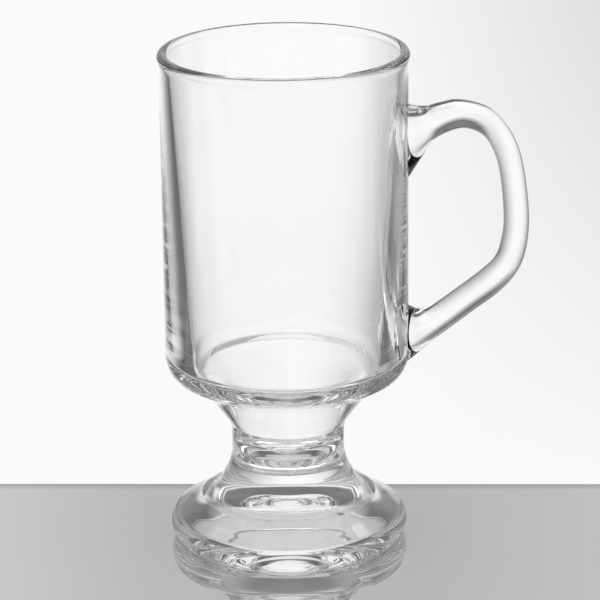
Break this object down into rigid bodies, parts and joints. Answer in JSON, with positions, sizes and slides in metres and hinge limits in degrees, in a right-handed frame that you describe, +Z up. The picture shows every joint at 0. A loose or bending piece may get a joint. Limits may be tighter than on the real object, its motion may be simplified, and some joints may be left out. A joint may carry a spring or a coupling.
{
  "type": "irish coffee glass mug",
  "caption": "Clear pressed-glass mug for hot coffee drinks: tall straight bowl with a rounded lip and funnel bottom, short stem, flaring hollow foot and an angular ear handle.",
  "frame": {"origin": "on the bowl's upright axis, in the plane of the ring the foot stands on", "axes": "+Z up along the bowl's axis, +X towards the handle, so the mug is the same on both sides of the XZ plane"},
  "size_m": [0.1064, 0.072, 0.1468],
  "materials": {
    "clear_glass": "clear, fire-polished pressed glass"
  },
  "bodies": {
    "root": {"bowl": "clear_glass", "stem": "clear_glass", "foot": "clear_glass", "handle": "clear_glass"}
  },
  "joints": []
}
